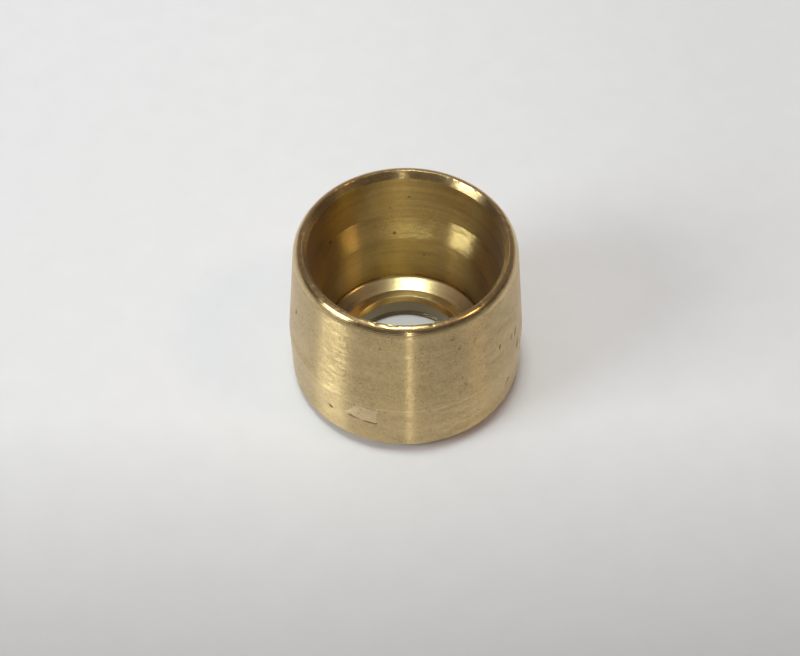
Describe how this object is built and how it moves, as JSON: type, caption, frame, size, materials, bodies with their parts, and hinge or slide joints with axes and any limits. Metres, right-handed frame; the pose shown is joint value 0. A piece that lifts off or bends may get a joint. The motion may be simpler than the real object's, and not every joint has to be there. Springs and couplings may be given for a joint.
{
  "type": "compression olive",
  "caption": "Turned brass compression olive: tapered thimble-shaped sleeve with a stepped liner socket, a drilled bottom and a small through hole in its end lip.",
  "frame": {"origin": "centre of the flat ring at the closed-in end, on the axis; the part stands on this ring", "axes": "+Z along the axis, out of the wide mouth; X and Y are free, because the part is turned"},
  "size_m": [0.008, 0.008, 0.006],
  "materials": {
    "brass": "satin, as turned, with fine tool marks"
  },
  "bodies": {
    "root": {"olive": "brass"}
  },
  "joints": []
}
